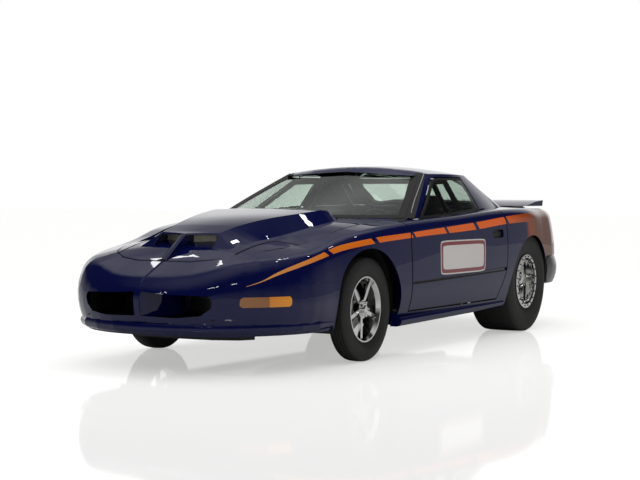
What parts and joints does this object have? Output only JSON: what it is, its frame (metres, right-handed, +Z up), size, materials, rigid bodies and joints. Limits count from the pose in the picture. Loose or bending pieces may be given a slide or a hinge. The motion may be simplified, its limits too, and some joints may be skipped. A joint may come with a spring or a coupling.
{
  "type": "drag racing car",
  "caption": "Two-door drag racing coupe in dark blue with an orange side stripe, twin-mouth hood scoop, roll cage, skinny front wheels and wide rear slicks",
  "frame": {"origin": "Middle of the car's footprint on the floor under the tyres, on the centre plane", "axes": "+X towards the nose, +Y to the car's left side, +Z up"},
  "size_m": [4.9831, 1.889, 1.2667],
  "materials": {
    "body_paint": "gloss",
    "bumper_grey": "gloss",
    "window_glass": "clear",
    "amber_lens": "gloss",
    "red_lens": "gloss",
    "mesh_brass": "satin",
    "black_plastic": "matte",
    "seat_cloth": "matte",
    "black_steel": "satin",
    "cast_block": "satin",
    "alloy": "satin",
    "polished_wheel": "polished",
    "tyre_rubber": "matte",
    "black_rubber": "satin"
  },
  "bodies": {
    "chassis": {"air_deflector": "black_plastic", "cabin_frame": "body_paint", "cowl_panel": "body_paint", "dashboard": "black_plastic", "drive_shaft": "black_steel", "driver_seat": "seat_cloth", "engine_block": "cast_block", "fender_left": "body_paint", "fender_right": "body_paint", "firewall": "black_steel", "floor_pan": "black_steel", "front_rails": "black_steel", "front_subframe": "black_steel", "fuel_cell": "alloy", "gearbox": "alloy", "headlamp_lids": "body_paint", "marker_lamps": "amber_lens", "nose_cover": "body_paint", "quarter_left": "body_paint", "quarter_right": "body_paint", "radiator": "alloy", "rear_axle": "black_steel", "rear_bumper": "bumper_grey", "rear_floor": "black_steel", "rear_links": "black_steel", "roll_cage": "black_steel", "sills": "body_paint", "steering_column": "black_steel", "tail_cover": "body_paint", "tail_lamps": "red_lens", "wheel_tubs": "black_steel", "windshield": "window_glass"},
    "hood": {"hood": "body_paint", "scoop_screens": "mesh_brass"},
    "door_left": {"door_left": "body_paint", "door_glass_left": "window_glass"},
    "door_right": {"door_right": "body_paint", "door_glass_right": "window_glass"},
    "hatch": {"hatch_frame": "body_paint", "hatch_glass": "window_glass", "deck_lid": "body_paint"},
    "knuckle_left": {"knuckle_left": "cast_block"},
    "knuckle_right": {"knuckle_right": "cast_block"},
    "front_wheel_left": {"front_rim_left": "polished_wheel", "front_tyre_left": "tyre_rubber"},
    "front_wheel_right": {"front_rim_right": "polished_wheel", "front_tyre_right": "tyre_rubber"},
    "rear_wheel_left": {"rear_rim_left": "polished_wheel", "rear_tyre_left": "tyre_rubber"},
    "rear_wheel_right": {"rear_rim_right": "polished_wheel", "rear_tyre_right": "tyre_rubber"},
    "steering_wheel": {"steering_wheel": "black_rubber"}
  },
  "joints": [
    {"name": "front_left_steer", "type": "hinge", "parent": "chassis", "child": "knuckle_left", "pos_m": [1.159, 0.655, 0.33], "axis": [0, 0, 1], "range_deg": [-28, 28]},
    {"name": "front_right_steer", "type": "hinge", "parent": "chassis", "child": "knuckle_right", "pos_m": [1.159, -0.655, 0.33], "axis": [0, 0, 1], "range_deg": [-28, 28]},
    {"name": "steering_wheel_turn", "type": "hinge", "parent": "chassis", "child": "steering_wheel", "pos_m": [0.15, 0.395, 0.79], "axis": [-0.9487, 0, 0.3162], "range_deg": [-252, 252]},
    {"name": "front_left_spin", "type": "hinge", "parent": "knuckle_left", "child": "front_wheel_left", "pos_m": [1.159, 0.77, 0.33], "axis": [0, 1, 0], "continuous": true},
    {"name": "front_right_spin", "type": "hinge", "parent": "knuckle_right", "child": "front_wheel_right", "pos_m": [1.159, -0.77, 0.33], "axis": [0, 1, 0], "continuous": true},
    {"name": "rear_left_spin", "type": "hinge", "parent": "chassis", "child": "rear_wheel_left", "pos_m": [-1.409, 0.728, 0.389], "axis": [0, 1, 0], "continuous": true},
    {"name": "rear_right_spin", "type": "hinge", "parent": "chassis", "child": "rear_wheel_right", "pos_m": [-1.409, -0.728, 0.389], "axis": [0, 1, 0], "continuous": true},
    {"name": "left_door_swing", "type": "hinge", "parent": "chassis", "child": "door_left", "pos_m": [0.618, 0.884, 0.6], "axis": [0, 0, -1], "range_deg": [0, 65]},
    {"name": "right_door_swing", "type": "hinge", "parent": "chassis", "child": "door_right", "pos_m": [0.618, -0.884, 0.6], "axis": [0, 0, 1], "range_deg": [0, 65]},
    {"name": "hood_lift", "type": "hinge", "parent": "chassis", "child": "hood", "pos_m": [0.629, 0, 0.878], "axis": [0, -1, 0], "range_deg": [0, 50]},
    {"name": "hatch_lift", "type": "hinge", "parent": "chassis", "child": "hatch", "pos_m": [-0.913, 0, 1.229], "axis": [0, 1, 0], "range_deg": [0, 65]}
  ],
  "couplings": [
    {"joint": "front_right_steer", "follows": "front_left_steer", "ratio": 1},
    {"joint": "steering_wheel_turn", "follows": "front_left_steer", "ratio": -9}
  ]
}
